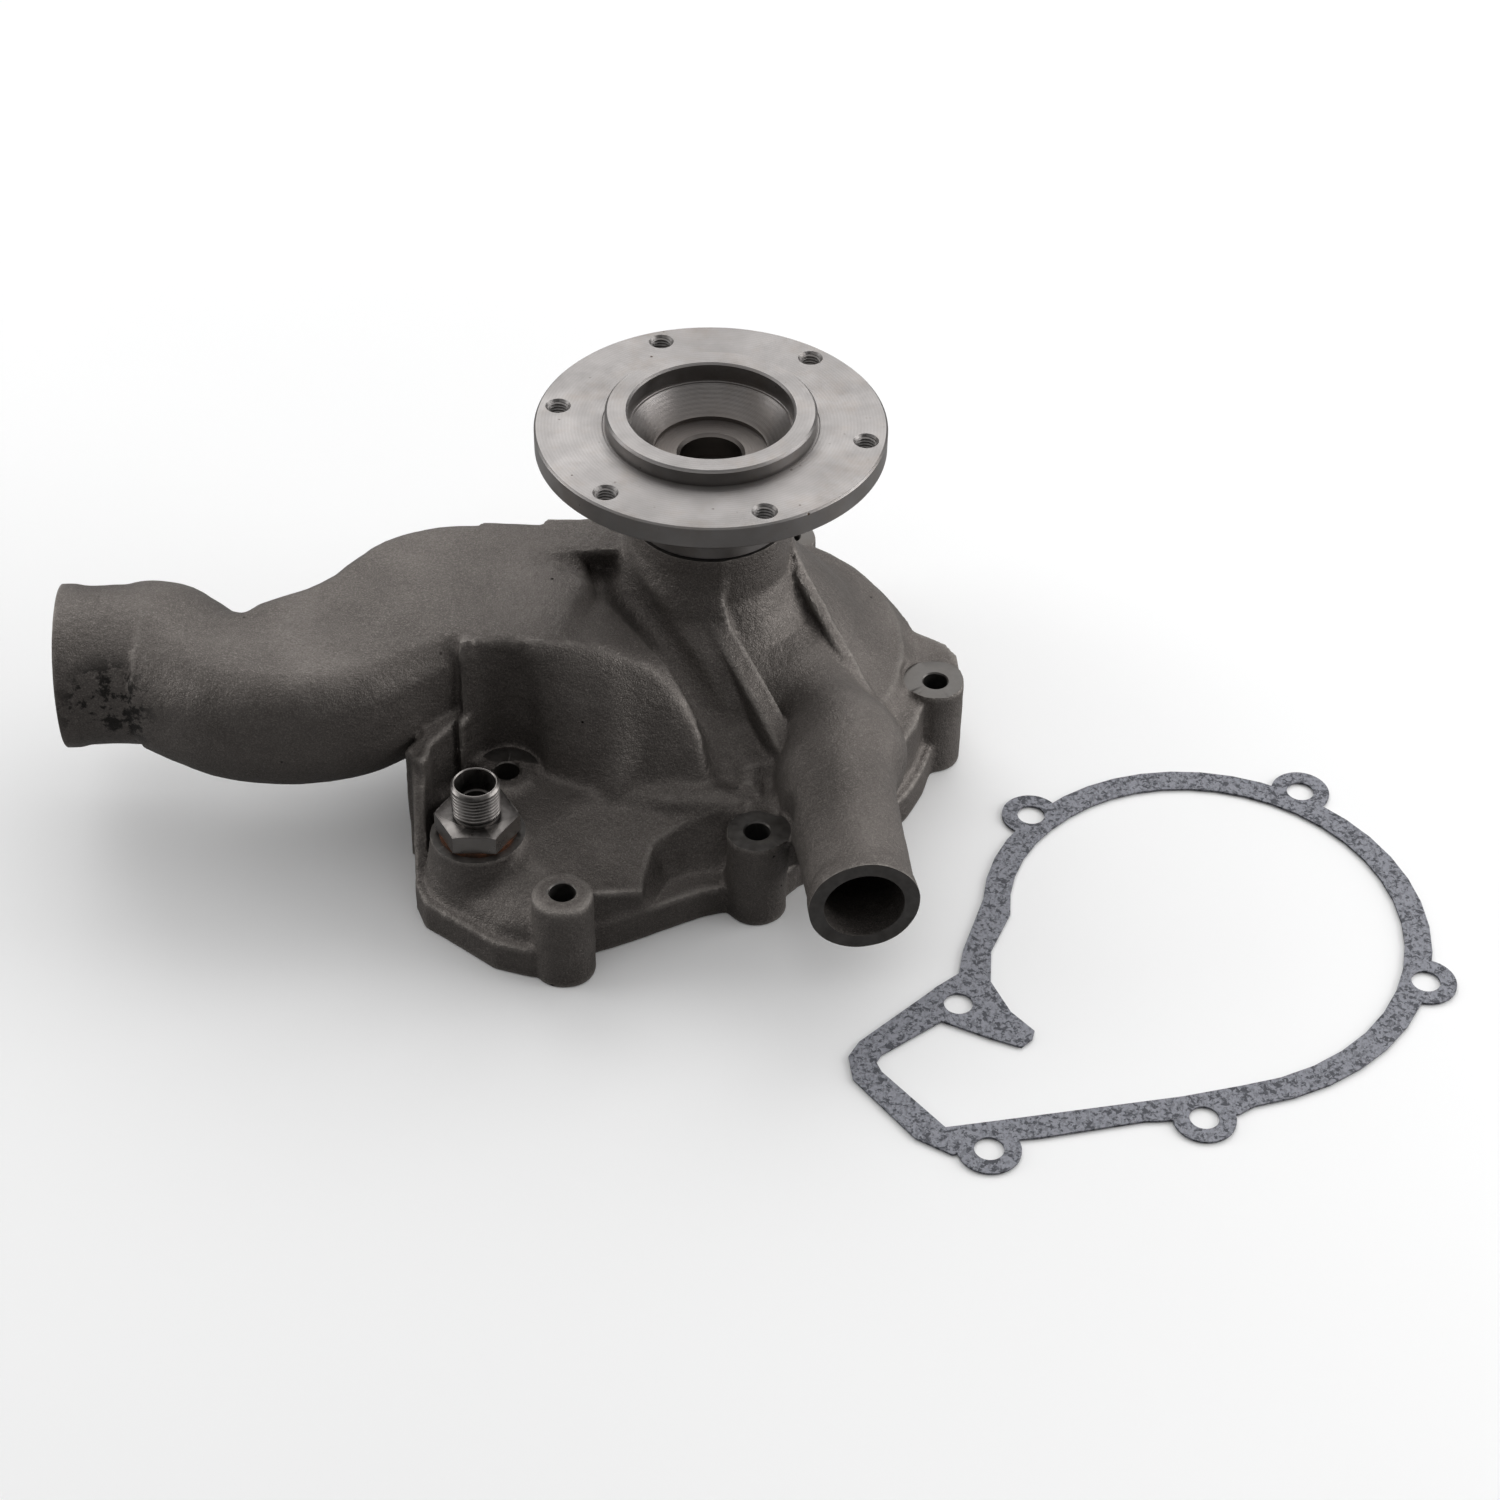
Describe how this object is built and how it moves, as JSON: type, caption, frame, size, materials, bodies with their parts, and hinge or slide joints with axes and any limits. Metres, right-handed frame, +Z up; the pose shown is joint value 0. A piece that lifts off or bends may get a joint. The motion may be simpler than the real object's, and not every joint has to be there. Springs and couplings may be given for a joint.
{
  "type": "water pump",
  "caption": "Engine water pump: cast volute housing with inlet and bypass pipes, flanged pulley hub on a ball-bearing shaft, mechanical seal, impeller and a loose gasket.",
  "frame": {"origin": "where the shaft axis meets the engine block face", "axes": "+Z up the shaft towards the pulley, -X towards the mouth of the inlet pipe, -Y towards the mouth of the bypass pipe"},
  "size_m": [0.5168, 0.3218, 0.151],
  "materials": {
    "cast_iron": "as-cast, rough, machined faces smoother",
    "gasket_paper": "matt fibre sheet with dark flecks",
    "union_steel": "turned, oiled",
    "union_washer": "dull copper, rust-stained",
    "hub_steel": "turned, fine rings",
    "shaft_steel": "ground",
    "bearing_steel": "ground and polished",
    "bearing_cage": "stamped",
    "spring_steel": "phosphated",
    "slinger_rubber": "matt",
    "seal_brass": "drawn sheet",
    "seal_wire": "drawn wire",
    "seal_rubber": "matt",
    "carbon": "lapped carbon",
    "ceramic": "lapped ceramic",
    "impeller_iron": "as-cast"
  },
  "bodies": {
    "body": {"housing": "cast_iron", "union_fitting": "union_steel", "union_washer": "union_washer", "front_outer_race": "bearing_steel", "rear_outer_race": "bearing_steel", "retaining_ring": "spring_steel", "seal_cup": "seal_brass", "seal_spring": "seal_wire", "seal_bellows": "seal_rubber", "carbon_ring": "carbon"},
    "rotor": {"hub_flange": "hub_steel", "shaft": "shaft_steel", "front_inner_race": "bearing_steel", "rear_inner_race": "bearing_steel", "bearing_spacer": "shaft_steel", "slinger": "slinger_rubber", "ceramic_seat": "ceramic", "seat_boot": "seal_rubber", "impeller": "impeller_iron"},
    "front_ball_set": {"front_balls": "bearing_steel", "front_cage": "bearing_cage"},
    "rear_ball_set": {"rear_balls": "bearing_steel", "rear_cage": "bearing_cage"},
    "loose_gasket": {"gasket": "gasket_paper"}
  },
  "joints": [
    {"name": "shaft_spin", "type": "hinge", "parent": "body", "child": "rotor", "pos_m": [0, 0, 0], "axis": [0, 0, 1], "continuous": true},
    {"name": "front_balls_spin", "type": "hinge", "parent": "body", "child": "front_ball_set", "pos_m": [0, 0, 0.088], "axis": [0, 0, 1], "continuous": true},
    {"name": "rear_balls_spin", "type": "hinge", "parent": "body", "child": "rear_ball_set", "pos_m": [0, 0, 0.064], "axis": [0, 0, 1], "continuous": true},
    {"name": "gasket_lift", "type": "slide", "parent": "body", "child": "loose_gasket", "axis": [0, 0, 1], "range_m": [0, 0.2]}
  ],
  "couplings": [
    {"joint": "front_balls_spin", "follows": "shaft_spin", "ratio": 0.3821},
    {"joint": "rear_balls_spin", "follows": "shaft_spin", "ratio": 0.3821}
  ]
}
